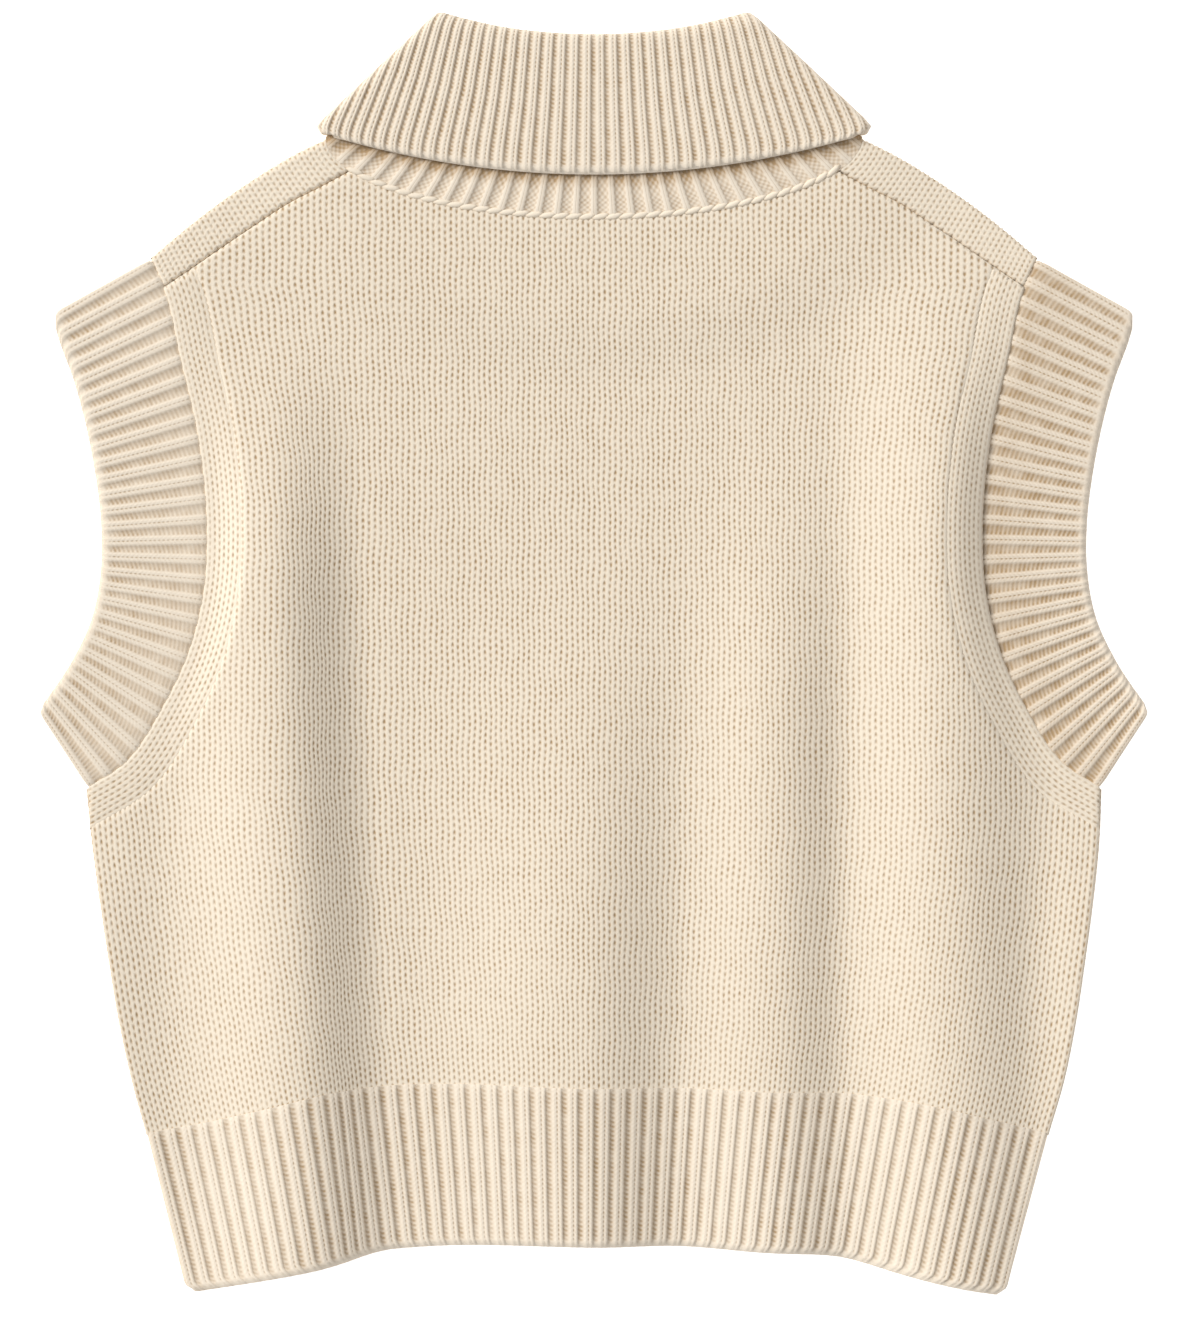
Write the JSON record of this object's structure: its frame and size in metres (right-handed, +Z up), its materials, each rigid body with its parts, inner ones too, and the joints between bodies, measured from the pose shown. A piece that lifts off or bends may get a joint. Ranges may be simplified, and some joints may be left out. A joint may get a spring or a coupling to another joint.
{
  "type": "sweater vest",
  "caption": "Sleeveless knitted pullover laid flat with its back up: plain-knit body, wide turned-down rib collar, rib armhole bands and rib hem.",
  "frame": {"origin": "centre of the laid garment's box, on the surface that it lies on", "axes": "+Y towards the collar, +X to the right as seen from above, +Z up from the surface"},
  "size_m": [0.556, 0.6379, 0.0176],
  "materials": {
    "plain_knit": "soft matt wool yarn, plain knit",
    "rib_knit": "soft matt wool yarn, rib knit"
  },
  "bodies": {
    "root": {"back_panel": "plain_knit", "front_panel": "plain_knit", "collar": "rib_knit", "left_armhole_rib": "rib_knit", "right_armhole_rib": "rib_knit", "hem_rib_back": "rib_knit", "hem_rib_front": "rib_knit"}
  },
  "joints": []
}
